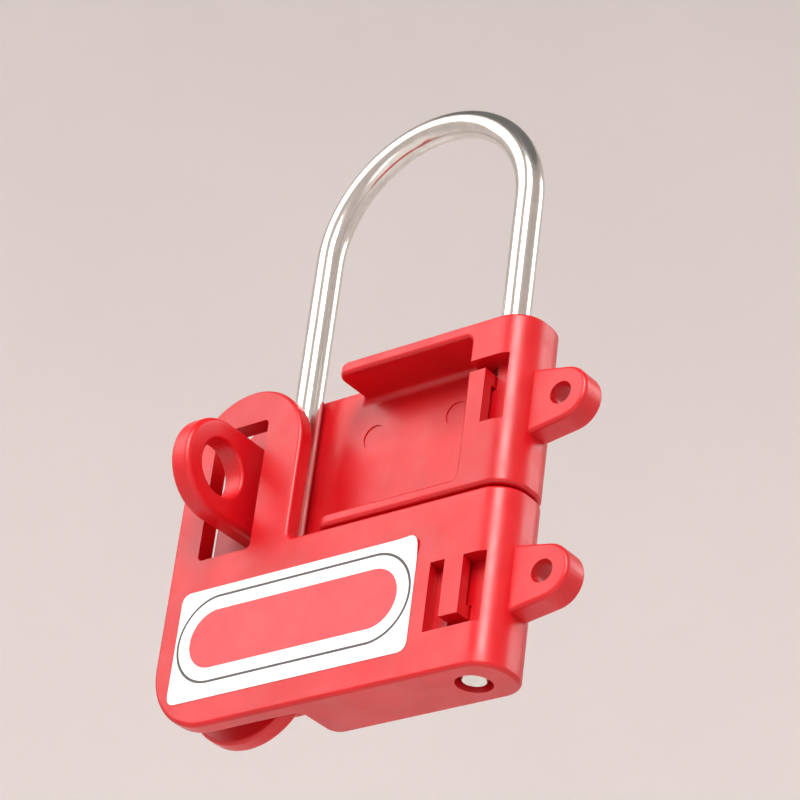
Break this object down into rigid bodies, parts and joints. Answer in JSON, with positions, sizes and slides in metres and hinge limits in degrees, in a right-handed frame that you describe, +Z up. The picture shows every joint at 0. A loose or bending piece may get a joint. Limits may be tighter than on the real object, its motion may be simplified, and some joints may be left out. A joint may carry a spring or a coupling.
{
  "type": "lockout hasp",
  "caption": "Lockout hasp: a steel shackle with two red moulded halves that swing apart on one leg and lock together when a padlock passes through a staple.",
  "frame": {"origin": "inner top of the shackle's bow, where the hasp hangs", "axes": "+X from the free leg to the hinge leg, +Y to the back, +Z up the legs towards the bow"},
  "size_m": [0.0994, 0.051, 0.1396],
  "materials": {
    "shackle_steel": "polished",
    "red_nylon": "satin moulded",
    "label_film": "printed film"
  },
  "bodies": {
    "shackle": {"shackle": "shackle_steel"},
    "upper": {"upper_half": "red_nylon"},
    "lower": {"lower_half": "red_nylon", "label": "label_film"}
  },
  "joints": [
    {"name": "upper_swing", "type": "hinge", "parent": "shackle", "child": "upper", "pos_m": [0.0265, 0, -0.07525], "axis": [0, 0, -1], "range_deg": [0, 160]},
    {"name": "lower_swing", "type": "hinge", "parent": "shackle", "child": "lower", "pos_m": [0.0265, 0, -0.11435], "axis": [0, 0, 1], "range_deg": [0, 160]}
  ]
}
